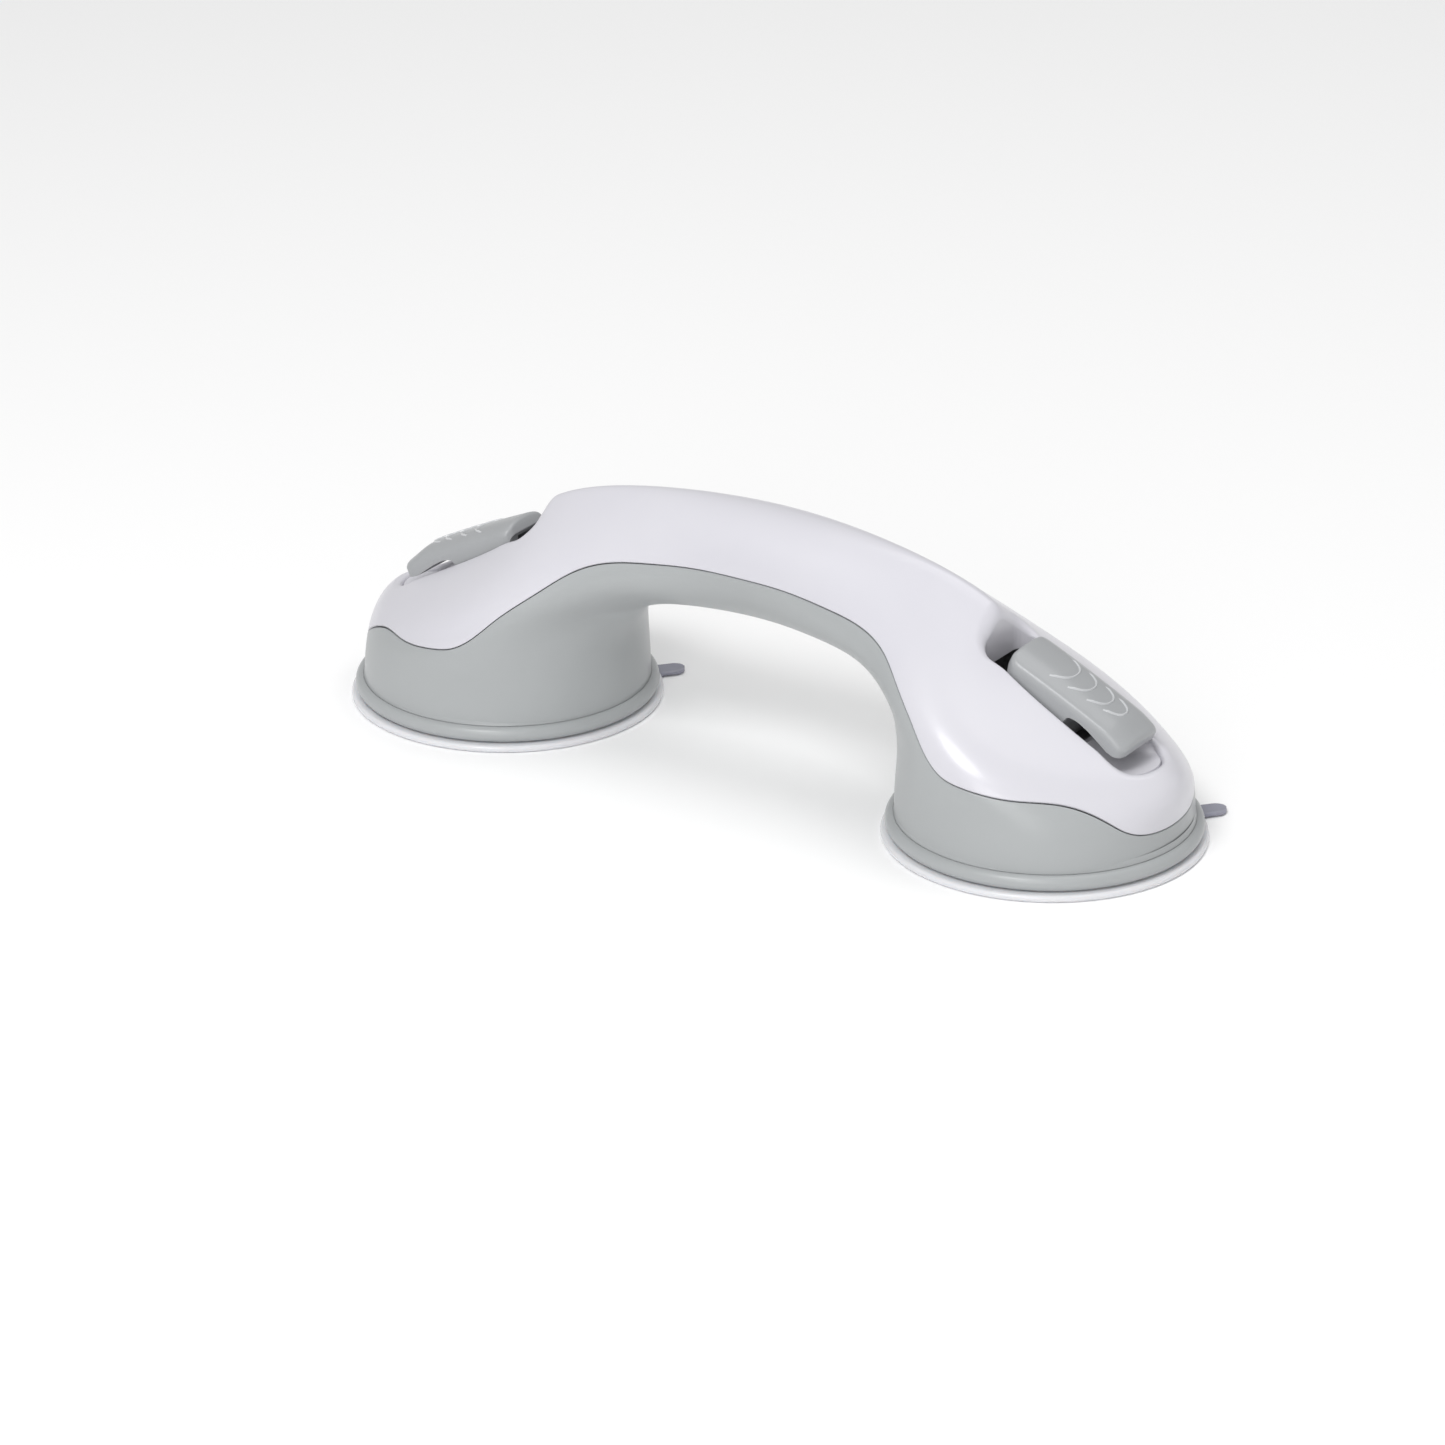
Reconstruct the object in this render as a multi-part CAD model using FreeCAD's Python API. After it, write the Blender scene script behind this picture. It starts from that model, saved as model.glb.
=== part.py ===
import FreeCAD, Part
import math
import os

# Suction grab bar. Millimetres. X runs along the bar, Y across it, Z up from the surface it grips.
# The origin is on that surface, midway between the two suction cups.

# Overall sizes
cup_diameter = 100.0
overall_length = 300.0
overall_height = 85.0
grip_depth = 35.7            # height of the hand grip's section at mid-span
grip_half_width = 17.7
wall = 3.0

# Feet
foot_radius = 46.0
flange_radius = 48.7
flange_height = 5.0
flange_bottom = 2.6
floor_height = 12.3          # underside of the foot's inner floor
floor_thickness = 2.0

# Lever mechanism
pin_height = 44.0            # lever pin above the gripped surface, lever closed
pin_diameter = 5.0
stem_travel = 5.0
lever_swing_deg = 80.0
lever_half_width = 11.0
lever_tip_half_width = 10.8
lever_slope_deg = 25.8
lever_height_over_pin = 10.5     # pin axis to the lever's top line, square to it
lever_inner_end = 14.2       # along the top line, from the point nearest the pin
lever_outer_end = 32.1
lever_arch = 3.0             # rise of the lever's top across its width
lever_tip_rise = 1.0         # what is left of that rise at the finger tip
lever_plate = 3.2
cam_heel = 6.0               # flat that keeps the closed lever from turning further
tongue_length = 14.0         # stem section along X
tongue_width = 9.0           # stem section along Y
tongue_eye_radius = 6.8
disc_radius = 18.0
disc_thickness = 3.0
tower_radius = 15.5
well_radius = 12.0
roof_bottom = 27.0
washer_seat = 30.5
washer_radius = 13.5
washer_thickness = 1.5
washer_lip = 1.0
spring_wire = 1.6
spring_radius = 9.7
spring_turns = 4.0

# Suction cup
cup_rim = 2.3
cup_land = 4.0               # width of the flat sealing ring
cup_hollow = 5.5             # height of the hollow under the cup's middle, lever closed
cup_skin = 1.7               # rubber between the hollow and the stem disc
tab_width = 7.5
tab_reach = 59.0
tab_angle_deg = 50.0
tab_thickness = 1.8

# Lever opening in the cover
slot_half_width = 11.8
slot_wall = 2.0
slot_inner_reach = 17.8      # opening's inner end, measured inward from the pin
slot_outer_reach = 41.0      # finger scoop's outer end, measured outward from the pin

# Screws
screw_shank_radius = 1.45
screw_head_radius = 3.1
screw_head_height = 2.2
screw_length = 16.0
screw_boss_radius = 4.6
screw_seat_rise = 6.0        # screw head's seat above the grip's underside
inner_screw_share = 0.29     # places along the hand gap's half width
outer_screw_share = 0.66

# Clearances
running = 0.04               # radial, pin in its bores
sliding = 0.2                # stem tongue in its guide
cam_gap = 0.15
cheek_gap = 0.5              # stem tongue to the lever's cheeks
soft_gap = 0.3
thread_gap = 0.05

foot_x = (overall_length - cup_diameter) / 2
half_gap = foot_x - foot_radius
grip_underside = overall_height - grip_depth
far = 200.0
section_count = 24           # points round each section of the handle
station_count = 42           # sections along the handle


def vec(x, y, z):
    return FreeCAD.Vector(x, y, z)


def handle_sections():
    """Half of the handle, foot to mid-span: top point, underside point, half width, narrowing, pinch."""
    base = flange_bottom
    top = overall_height
    under = grip_underside
    grip = grip_half_width
    return [
        ((foot_x + foot_radius, base), (foot_x - foot_radius, base), foot_radius, 0.0, 0.0),
        ((foot_x + 45.2, 16.0), (foot_x - 45.8, 16.0), 45.5, 0.0, 0.0),
        ((foot_x + 44.6, 28.0), (half_gap, 28.0), 44.8, 0.16, 0.25),
        ((foot_x + 25.0, 41.0), (half_gap - 4.6, under - 12.0), 41.9, 0.09, 0.5),
        ((foot_x - 1.0, 56.2), (0.82 * half_gap, under - 6.7), 34.8, 0.0, 0.52),
        ((foot_x - 20.0, top - 13.2), (0.61 * half_gap, under - 2.8), grip + 7.7, 0.18, 0.5),
        ((0.85 * half_gap, top - 3.1), (0.32 * half_gap, under - 0.3), grip + 1.9, 0.25, 0.22),
        ((0.0, top), (0.0, under), grip, 0.0, 0.0),
    ]


def guide_curve(points):
    """Smooth curve through points, one unit of parameter per station."""
    curve = Part.BSplineCurve()
    curve.interpolate(Points=points, Parameters=[float(i) for i in range(len(points))])
    return curve


def section_points(top, under, pinch, inset):
    """One section, drawn in by inset: top holds a point and a half width, under a point and the
    narrowing towards the top, and pinch narrows both ends."""
    dx = (top.x - under.x) / 2
    dz = (top.z - under.z) / 2
    reach = math.hypot(dx, dz)
    shrink = (reach - inset) / reach
    points = []
    for i in range(section_count + 1):
        a = math.pi + 2 * math.pi * i / section_count
        x = (top.x + under.x) / 2 + dx * shrink * math.cos(a)
        z = (top.z + under.z) / 2 + dz * shrink * math.cos(a)
        c = math.cos(a)
        y = (top.y - inset) * math.sin(a) * (1 - under.y * c - pinch * c * c)
        points.append(vec(x, y, z))
    points[0].y = 0.0
    points[-1] = points[0]
    return points


def handle_body(inset):
    """The whole handle as one solid, its walls drawn in by inset; an inset body runs out at the feet."""
    half = handle_sections()
    far_half = [((-t[0], t[1]), (-u[0], u[1]), w, n, p) for t, u, w, n, p in reversed(half[:-1])]
    whole = half + far_half
    top_line = guide_curve([vec(t[0], w, t[1]) for t, u, w, n, p in whole])
    under_line = guide_curve([vec(u[0], n, u[1]) for t, u, w, n, p in whole])
    pinch_line = guide_curve([vec(i, p, 0) for i, (t, u, w, n, p) in enumerate(whole)])
    last = len(whole) - 1
    grid = []
    for i in range(station_count + 1):
        u = last * i / station_count
        grid.append(section_points(top_line.value(u), under_line.value(u), pinch_line.value(u).y, inset))
    surface = Part.BSplineSurface()
    surface.interpolate(grid)
    skin = surface.toShape()
    faces = [skin]
    for edge in skin.Edges:
        if edge.BoundBox.ZLength < 0.01:
            faces.append(Part.Face(Part.Wire([edge])))
    shell = Part.makeShell(faces)
    shell.sewShape()
    body = Part.makeSolid(shell)
    body.fix(0.001, 0.001, 0.001)
    if body.Volume < 0:
        body.reverse()
    return body


def along_y(outline, low, high):
    """Solid drawn across the bar from a closed outline of edges or points in the X-Z plane."""
    if isinstance(outline[0], tuple):
        points = [vec(x, low, z) for x, z in outline]
        wire = Part.makePolygon(points + [points[0]])
    else:
        wire = Part.Wire(outline)
    return Part.Face(wire).extrude(vec(0, high - low, 0))


def bar_box(x_low, x_high, y_low, y_high, z_low, z_high):
    return Part.makeBox(x_high - x_low, y_high - y_low, z_high - z_low, vec(x_low, y_low, z_low))


def rod(radius, x, y, z_low, z_high):
    return Part.makeCylinder(radius, z_high - z_low, vec(x, y, z_low))


def mirrored(shape):
    return shape.mirror(vec(0, 0, 0), vec(1, 0, 0))


def both_ends(shape):
    """A right-hand shape and its mirror image, for cutting or joining at both feet."""
    return [shape, mirrored(shape)]


# Parting line between cover and lower body

def parting_line():
    """Height of the parting line along the bar, from one end to the other."""
    top = overall_height
    half = [
        (foot_x + foot_radius + 6.0, 14.0),
        (foot_x + 44.0, 15.0),
        (foot_x + 38.0, 20.3),
        (foot_x + 31.0, 25.0),
        (foot_x + 23.7, 27.5),
        (foot_x + 12.0, 28.7),
        (foot_x - 3.0, 30.8),
        (foot_x - 10.5, 32.6),
        (foot_x - 16.0, 36.0),
        (foot_x - 24.0, 43.8),
        (foot_x - 34.0, 52.2),
        (1.04 * half_gap, top - 25.4),
        (0.90 * half_gap, top - 22.2),
        (0.61 * half_gap, top - 19.5),
        (0.30 * half_gap, top - 18.0),
        (0.0, top - 17.8),
    ]
    return [(-x, z) for x, z in half] + [(x, z) for x, z in reversed(half[:-1])]


def above_parting():
    """Everything above the parting line."""
    line = parting_line()
    curve = Part.BSplineCurve()
    curve.interpolate([vec(x, -far, z) for x, z in line])
    first = vec(line[0][0], -far, line[0][1])
    last = vec(line[-1][0], -far, line[-1][1])
    first_corner = vec(first.x, -far, far)
    last_corner = vec(last.x, -far, far)
    edges = [
        curve.toShape(),
        Part.makeLine(last, last_corner),
        Part.makeLine(last_corner, first_corner),
        Part.makeLine(first_corner, first),
    ]
    return along_y(edges, -far, far)


# Lever

def on_lever(along, down=0.0):
    """Point in the X-Z plane: a distance outward along the lever's top line, and one below it."""
    slope = math.radians(lever_slope_deg)
    x = foot_x + lever_height_over_pin * math.sin(slope) + along * math.cos(slope) - down * math.sin(slope)
    z = pin_height + lever_height_over_pin * math.cos(slope) - along * math.sin(slope) - down * math.cos(slope)
    return (x, z)


def cam_drop():
    """How far the stem falls per radian of lever swing."""
    return stem_travel / math.radians(lever_swing_deg)


def cam_height():
    return pin_height - washer_seat - washer_thickness - cam_gap


def cam_points():
    """Working face of the cam: its distance to the washer shrinks evenly as the lever swings."""
    steps = 12
    points = []
    for i in range(steps + 1):
        swing = math.radians(lever_swing_deg) * i / steps
        angle = -math.pi / 2 - swing
        height = cam_height() - cam_drop() * swing
        x = height * math.cos(angle) - cam_drop() * math.sin(angle)
        z = height * math.sin(angle) + cam_drop() * math.cos(angle)
        points.append(vec(foot_x + x, 0, pin_height + z))
    return points


def plan_slot(x_low, x_high, low_half, high_half, low_corner, high_corner):
    """Tall prism seen from above as a bar with rounded corners, low_half wide at x_low."""
    outline = [(x_low, -low_half), (x_high, -high_half), (x_high, high_half), (x_low, low_half)]
    points = [vec(x, y, -far) for x, y in outline]
    prism = Part.Face(Part.makePolygon(points + [points[0]])).extrude(vec(0, 0, 2 * far))
    middle = (x_low + x_high) / 2
    upright = [edge for edge in prism.Edges if edge.BoundBox.ZLength > far]
    inner = [edge for edge in upright if edge.BoundBox.XMin < middle]
    outer = [edge for edge in upright if edge.BoundBox.XMin > middle]
    return prism.makeFillet(low_corner, inner).makeFillet(high_corner, outer)


def lever():
    """Right-hand lever: crowned plate, finger tip, and two cam cheeks either side of the stem."""
    cam = cam_points()
    inner_top = vec(*flat(on_lever(-lever_inner_end, -lever_arch)))
    tip_start = vec(*flat(on_lever(lever_outer_end - 9.0, -lever_arch)))
    tip_middle = vec(*flat(on_lever(lever_outer_end - 3.6, -0.75 * lever_arch)))
    outer_top = vec(*flat(on_lever(lever_outer_end, -lever_tip_rise)))
    tip = Part.Arc(tip_start, tip_middle, outer_top)
    underside = [
        on_lever(lever_outer_end + 0.2, 3.4),
        on_lever(lever_outer_end - 4.3, 4.6),
        on_lever(lever_outer_end - 8.5, 3.6),
        on_lever(lever_outer_end - 16.6, lever_plate - 1.0),
        on_lever(lever_outer_end - 20.6, lever_plate - 0.2),
        on_lever(lever_outer_end - 22.4, 5.5),
        on_lever(lever_outer_end - 21.9, 10.0),
        (foot_x + cam_heel, pin_height - cam_height()),
    ]
    run = [outer_top] + [vec(*flat(point)) for point in underside] + [cam[0]]
    edges = [Part.makeLine(inner_top, tip_start), tip.toShape()]
    edges += [Part.makeLine(p, q) for p, q in zip(run, run[1:])]
    face = Part.BSplineCurve()
    face.interpolate(cam)
    heel = vec(*flat(on_lever(-lever_inner_end + 2.5, 5.1)))
    edges += [face.toShape(), Part.makeLine(cam[-1], heel), Part.makeLine(heel, inner_top)]
    body = along_y(edges, 0, 2 * lever_half_width)
    body.translate(vec(0, -lever_half_width, 0))
    x_inner = min(inner_top.x, heel.x) - 0.5
    x_outer = on_lever(lever_outer_end + 0.2, 3.4)[0] + 1.5
    plan = plan_slot(x_inner, x_outer, lever_half_width, lever_tip_half_width, 2.0, 3.0)
    body = body.common(plan).common(lever_vault())
    cheek = tongue_width / 2 + cheek_gap
    low_corner = on_lever(-lever_inner_end - 5.0, lever_plate)
    high_z = on_lever(0.0, lever_plate)
    web_x = foot_x + tongue_length / 2 + 1.2
    slope = math.tan(math.radians(lever_slope_deg))
    web_top = (web_x, high_z[1] - (web_x - high_z[0]) * slope)
    channel = [low_corner, web_top, (web_x, 0.0), (low_corner[0], 0.0)]
    body = body.cut(along_y(channel, -cheek, cheek))
    return body.cut(cross_pin(pin_diameter / 2 + running, 2 * lever_half_width))


def lever_vault():
    """Everything under the lever's arched top, along its whole length."""
    start = -lever_inner_end - 12.0
    left, crest, right = [vec(on_lever(start, down)[0], y, on_lever(start, down)[1])
                          for y, down in ((-lever_half_width, 0.0), (0.0, -lever_arch),
                                          (lever_half_width, 0.0))]
    depth = 2 * pin_height
    low_x, low_z = on_lever(start, depth)
    low_left = vec(low_x, -lever_half_width, low_z)
    low_right = vec(low_x, lever_half_width, low_z)
    section = Part.Wire([
        Part.Arc(left, crest, right).toShape(),
        Part.makeLine(right, low_right),
        Part.makeLine(low_right, low_left),
        Part.makeLine(low_left, left),
    ])
    end_x, end_z = on_lever(lever_outer_end + 10.0)
    return Part.Face(section).extrude(vec(end_x - left.x, 0, end_z - left.z))


def flat(point):
    """Coordinates of an X-Z point on the bar's middle plane."""
    return (point[0], 0.0, point[1])


def cross_pin(radius, length):
    """Cylinder on the lever's pivot axis."""
    return Part.makeCylinder(radius, length, vec(foot_x, -length / 2, pin_height), vec(0, 1, 0))


def lever_pin():
    return cross_pin(pin_diameter / 2, 2 * lever_half_width - 0.6)


# Stem, washer, spring and cup

def cup_stem():
    """Plastic insert of the cup: a disc the rubber holds, and a tongue with the lever's pin eye."""
    disc = rod(disc_radius, foot_x, 0, disc_bottom(), disc_bottom() + disc_thickness)
    half_length = tongue_length / 2
    half_width = tongue_width / 2
    disc_top = disc_bottom() + disc_thickness
    tongue = bar_box(foot_x - half_length, foot_x + half_length, -half_width, half_width,
                     disc_top - 0.5, pin_height)
    eye = cross_pin(tongue_eye_radius, tongue_width)
    stem = disc.fuse([tongue, eye]).removeSplitter()
    return stem.cut(cross_pin(pin_diameter / 2 + running, far))


def disc_bottom():
    return cup_hollow + cup_skin + soft_gap


def guide_slot(clearance, z_low, z_high):
    half_length = tongue_length / 2 + clearance
    half_width = tongue_width / 2 + clearance
    return bar_box(foot_x - half_length, foot_x + half_length, -half_width, half_width, z_low, z_high)


def cam_washer():
    """Steel washer the cam bears on, with a slot for the stem."""
    washer = rod(washer_radius, foot_x, 0, washer_seat, washer_seat + washer_thickness)
    return washer.cut(guide_slot(sliding + 0.1, 0, far))


def return_spring():
    """Compression spring round the stem, between the disc and the roof of the well."""
    low = disc_bottom() + disc_thickness + spring_wire / 2 + 0.3
    high = roof_bottom - spring_wire / 2 - 0.3
    pitch = (high - low) / spring_turns
    helix = Part.makeHelix(pitch, high - low, spring_radius)
    start = Part.makeCircle(spring_wire / 2, vec(spring_radius, 0, 0), vec(0, 1, 0))
    wire = Part.Wire(helix).makePipeShell([Part.Wire(start)], True, True)
    wire.translate(vec(foot_x, 0, low))
    return wire


def suction_cup():
    """Soft round cup with a flat sealing ring, a shallow hollow, a lip over the disc and a pull tab."""
    edge = cup_diameter / 2
    land = edge - cup_land
    floor = cup_hollow + cup_skin
    lip_top = disc_bottom() + disc_thickness + soft_gap + 1.0
    disc_room = disc_radius + soft_gap
    hollow = Part.BSplineCurve()
    hollow.interpolate([vec(land, 0, 0), vec(0.66 * edge, 0, 0.6 * cup_hollow),
                        vec(0.34 * edge, 0, 0.96 * cup_hollow), vec(0, 0, cup_hollow)])
    outline = [
        (0.0, cup_hollow), (0.0, floor), (disc_room, floor),
        (disc_room, lip_top - 1.0), (disc_radius - 1.0, lip_top - 1.0), (disc_radius - 1.0, lip_top),
        (disc_room + 2.5, lip_top), (disc_room + 4.0, cup_hollow + cup_rim), (0.84 * edge, cup_rim),
        (edge - 0.7, cup_rim), (edge, cup_rim - 0.7), (edge, 0.0), (land, 0.0),
    ]
    points = [vec(x, 0, z) for x, z in outline]
    edges = [hollow.toShape()]
    edges += [Part.makeLine(p, q) for p, q in zip(points, points[1:])]
    cup = Part.Face(Part.Wire(Part.__sortEdges__(edges))).revolve(vec(0, 0, 0), vec(0, 0, 1), 360)
    half = tab_width / 2
    tab = bar_box(land + 1.0, tab_reach - half, -half, half, 0.3, 0.3 + tab_thickness)
    tab = tab.fuse(rod(half, tab_reach - half, 0, 0.3, 0.3 + tab_thickness))
    tab.rotate(vec(0, 0, 0), vec(0, 0, 1), tab_angle_deg)
    cup = cup.fuse(tab)
    cup.translate(vec(foot_x, 0, 0))
    return cup


# Covers

def screw_places():
    return [side * share * half_gap for side in (-1, 1) for share in (inner_screw_share, outer_screw_share)]


def screw_seat():
    return grip_underside + screw_seat_rise


def screw_joint():
    """Height where a lower boss meets the cover's boss."""
    return overall_height - 22.0


def grip_screws():
    screws = []
    for x in screw_places():
        seat = screw_seat()
        head = rod(screw_head_radius, x, 0, seat - screw_head_height, seat)
        head = head.fuse(rod(screw_shank_radius, x, 0, seat, seat + screw_length)).removeSplitter()
        bottom = seat - screw_head_height
        for dx, dy in ((1.9, 0.4), (0.4, 1.9)):
            head = head.cut(bar_box(x - dx, x + dx, -dy, dy, bottom - 1, bottom + 1.3))
        screws.append(head)
    return Part.makeCompound(screws)


def pocket_blank(core):
    """Walls and floor hung under the cover round the lever and the finger scoop, right-hand end."""
    low = foot_x - slot_inner_reach - slot_wall
    high = foot_x + slot_outer_reach + slot_wall
    outline = [
        (low, overall_height), (low, pin_height + 10.0), (foot_x + 11.0, pin_height - 9.5),
        (foot_x + 16.0, pin_height - 11.5), (foot_x + 22.0, pin_height - 15.0),
        (foot_x + 31.0, pin_height - 17.0), (foot_x + 38.0, pin_height - 17.0),
        (high, pin_height - 14.5), (high, overall_height),
    ]
    half = slot_half_width + slot_wall
    plan = plan_slot(low, high, half, half, 6.0, half - 0.2)
    return along_y(outline, -far, far).common(plan).common(core)


def pocket_void():
    """Opening for the lever and the finger scoop beyond its tip, right-hand end."""
    low = foot_x - slot_inner_reach
    high = foot_x + slot_outer_reach
    web = foot_x + 12.8
    scoop_start = web + slot_wall
    through = [(low, overall_height + 5), (low, 25.0), (web, 25.0), (web, overall_height + 5)]
    rim = pin_height - 8.0
    floor = Part.BSplineCurve()
    floor.interpolate([vec(scoop_start, 0, rim), vec(scoop_start + 4.0, 0, rim - 3.5),
                       vec(scoop_start + 10.0, 0, rim - 6.2), vec(scoop_start + 17.0, 0, rim - 6.8),
                       vec(high, 0, rim - 4.5)])
    top = overall_height + 5
    corners = [vec(high, 0, rim - 4.5), vec(high, 0, top), vec(low, 0, top), vec(low, 0, rim),
               vec(scoop_start, 0, rim)]
    edges = [floor.toShape()] + [Part.makeLine(p, q) for p, q in zip(corners, corners[1:])]
    scoop = along_y(edges, 0, 2 * far)
    scoop.translate(vec(0, -far, 0))
    plan = plan_slot(low, high, slot_half_width, slot_half_width, 4.0, slot_half_width - 0.2)
    return along_y(through, -far, far).fuse(scoop).common(plan)


def top_cover(core, shell):
    cover = shell.common(above_parting())
    additions = both_ends(pocket_blank(core))
    joint = screw_joint()
    for x in screw_places():
        additions.append(rod(screw_boss_radius, x, 0, joint, overall_height + 1).common(core))
    cover = cover.fuse(additions)
    cuts = both_ends(pocket_void())
    for x in screw_places():
        bore = screw_shank_radius + thread_gap
        cuts.append(rod(bore, x, 0, joint - 1, screw_seat() + screw_length + 1.0))
    return cover.cut(cuts)


def foot_inside():
    """Flange, floor, guide tower and ribs of the right-hand foot."""
    flange = rod(flange_radius, foot_x, 0, flange_bottom, flange_bottom + flange_height)
    rims = [e for e in flange.Edges if e.BoundBox.ZLength < 0.01 and e.BoundBox.XLength > flange_radius]
    flange = flange.makeFillet(flange_height / 2 - 0.2, rims)
    flange = flange.cut(rod(foot_radius - wall / 2, foot_x, 0, 0, far))
    floor_top = floor_height + floor_thickness
    floor = rod(foot_radius - wall / 2, foot_x, 0, floor_height, floor_top)
    tower = rod(tower_radius, foot_x, 0, floor_height, washer_seat + washer_lip)
    ribs = []
    for angle in (45, 135, 225, 315):
        rib = bar_box(tower_radius - 1, foot_radius - wall / 2, -1, 1, floor_height, floor_top + 8)
        rib.rotate(vec(0, 0, 0), vec(0, 0, 1), angle)
        rib.translate(vec(foot_x, 0, 0))
        ribs.append(rib)
    return flange, floor.fuse([tower] + ribs)


def foot_cuts():
    """Well for the spring, guide slot for the stem and seat for the washer."""
    well = rod(well_radius, foot_x, 0, 0, roof_bottom)
    seat = rod(washer_radius + 0.1, foot_x, 0, washer_seat, washer_seat + 2 * washer_lip)
    return [well, seat, guide_slot(sliding, 0, far)]


def lower_body(core, shell):
    body = shell.cut(above_parting())
    flange, inside = foot_inside()
    additions = both_ends(flange) + both_ends(inside)
    joint = screw_joint()
    for x in screw_places():
        additions.append(rod(screw_boss_radius, x, 0, grip_underside - 5, joint).common(core))
    body = body.fuse(additions)
    cuts = []
    for cut in foot_cuts():
        cuts += both_ends(cut)
    for x in screw_places():
        cuts.append(rod(screw_head_radius + 0.3, x, 0, 0, screw_seat()))
        cuts.append(rod(screw_shank_radius + 0.3, x, 0, 0, joint + 1))
    return body.cut(cuts)


def save(shape, name):
    shape.exportStep("parts/" + name + ".step")


def main():
    os.makedirs("parts", exist_ok=True)
    outer = handle_body(0)
    shell = outer.cut(handle_body(wall))
    core = handle_body(wall / 2)
    save(top_cover(core, shell), "top_cover")
    save(lower_body(core, shell), "lower_body")
    save(grip_screws(), "grip_screws")
    pieces = {
        "lever": lever,
        "lever_pin": lever_pin,
        "cup_stem": cup_stem,
        "cam_washer": cam_washer,
        "return_spring": return_spring,
    }
    for name, make in pieces.items():
        right = make()
        save(right, "right_" + name)
        save(mirrored(right), "left_" + name)
    cup = suction_cup()
    save(cup, "right_suction_cup")
    cup.translate(vec(-2 * foot_x, 0, 0))
    save(cup, "left_suction_cup")


main()
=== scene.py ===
import bpy
import math
import numpy as np
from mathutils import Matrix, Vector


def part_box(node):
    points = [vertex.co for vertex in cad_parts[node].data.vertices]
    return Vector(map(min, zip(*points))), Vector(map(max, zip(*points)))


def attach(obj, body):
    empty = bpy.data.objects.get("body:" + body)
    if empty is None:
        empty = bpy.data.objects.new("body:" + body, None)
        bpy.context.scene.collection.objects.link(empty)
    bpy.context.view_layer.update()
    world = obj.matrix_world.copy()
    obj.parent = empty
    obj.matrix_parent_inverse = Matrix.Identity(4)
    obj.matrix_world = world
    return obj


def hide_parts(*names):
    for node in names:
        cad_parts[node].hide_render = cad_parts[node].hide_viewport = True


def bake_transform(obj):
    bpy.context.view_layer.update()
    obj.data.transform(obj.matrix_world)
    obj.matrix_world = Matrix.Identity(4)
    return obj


# Suction grab bar. Shapes are worked out in millimetres in the CAD's frame and stored in metres.
# X runs along the bar, Y across it, Z up from the surface it grips.

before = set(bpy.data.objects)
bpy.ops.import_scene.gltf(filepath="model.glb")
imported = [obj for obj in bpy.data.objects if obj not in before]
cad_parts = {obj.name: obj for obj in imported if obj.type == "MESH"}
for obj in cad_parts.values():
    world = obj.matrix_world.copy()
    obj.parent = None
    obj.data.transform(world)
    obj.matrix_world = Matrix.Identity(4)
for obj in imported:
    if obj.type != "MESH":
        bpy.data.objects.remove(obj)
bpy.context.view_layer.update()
MM = 0.001


# ---------------------------------------------------------------- sizes, from the CAD frame

def box_mm(name):
    low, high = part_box(name)
    return np.array(low) / MM, np.array(high) / MM


_, cup_high = box_mm("right_suction_cup")
_, cover_high = box_mm("top_cover")
pin_low, pin_high = box_mm("right_lever_pin")
flange_low, flange_high = box_mm("lower_body")
FOOT_X = (pin_low[0] + pin_high[0]) / 2
PIN_Z = (pin_low[2] + pin_high[2]) / 2
TOP_Z = cover_high[2]
BASE_Z = flange_low[2]
FLANGE_R = flange_high[1]
CUP_R = cup_high[0] - FOOT_X
FOOT_R = 46.0
GAP_HALF = FOOT_X - FOOT_R
UNDER_Z = TOP_Z - 35.7
GRIP_HALF = 17.7
SLOT_HALF = 11.8
SLOT_IN = FOOT_X - 17.0
SLOT_OUT = FOOT_X + 38.0
WEB_X = FOOT_X + 14.8
SEAT_Z = UNDER_Z + 6.0
SCREWS = (0.29 * GAP_HALF, 0.66 * GAP_HALF)
HALF_JOINT = 0.13            # half of the fine joint between cover and lower body
EDGE = 0.45                  # softened edge beside that joint
ON_BORDER = 0.02             # how near a point is to a cut to count as on it
SCREW_HOLE_R = 3.4
SCREW_RIM = 0.5              # rounding of a screw hole's rim
EDGE_CUTS = (1.0, 0.55, 0.2, 0.0)   # shares of the softened edge where the mesh is cut
RIM_CUTS = (1.0, 0.75, 0.5, 0.3, 0.15, 0.05, 0.0)


# ---------------------------------------------------------------- curves

def natural_spline(knots, values):
    """Natural cubic spline through values at knots, as a function of the parameter."""
    t = np.asarray(knots, float)
    v = np.asarray(values, float)
    n = len(t)
    h = np.diff(t)
    matrix = np.eye(n)
    side = np.zeros_like(v)
    for i in range(1, n - 1):
        matrix[i, i - 1:i + 2] = h[i - 1], 2 * (h[i - 1] + h[i]), h[i]
        side[i] = 6 * ((v[i + 1] - v[i]) / h[i] - (v[i] - v[i - 1]) / h[i - 1])
    bend = np.linalg.solve(matrix, side)

    def at(s):
        s = np.clip(np.asarray(s, float), t[0], t[-1])
        k = np.clip(np.searchsorted(t, s, side="right") - 1, 0, n - 2)
        width = h[k]
        a = (t[k + 1] - s) / width
        b = 1 - a
        if v.ndim > 1:
            a, b, width = a[..., None], b[..., None], width[..., None]
        cubic = ((a ** 3 - a) * bend[k] + (b ** 3 - b) * bend[k + 1]) * width ** 2 / 6
        return a * v[k] + b * v[k + 1] + cubic

    return at


def smooth(low, high, value):
    """Eases from 0 at low to 1 at high."""
    t = np.clip((np.asarray(value, float) - low) / (high - low), 0, 1)
    return t * t * (3 - 2 * t)


# ---------------------------------------------------------------- handle surface

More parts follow.
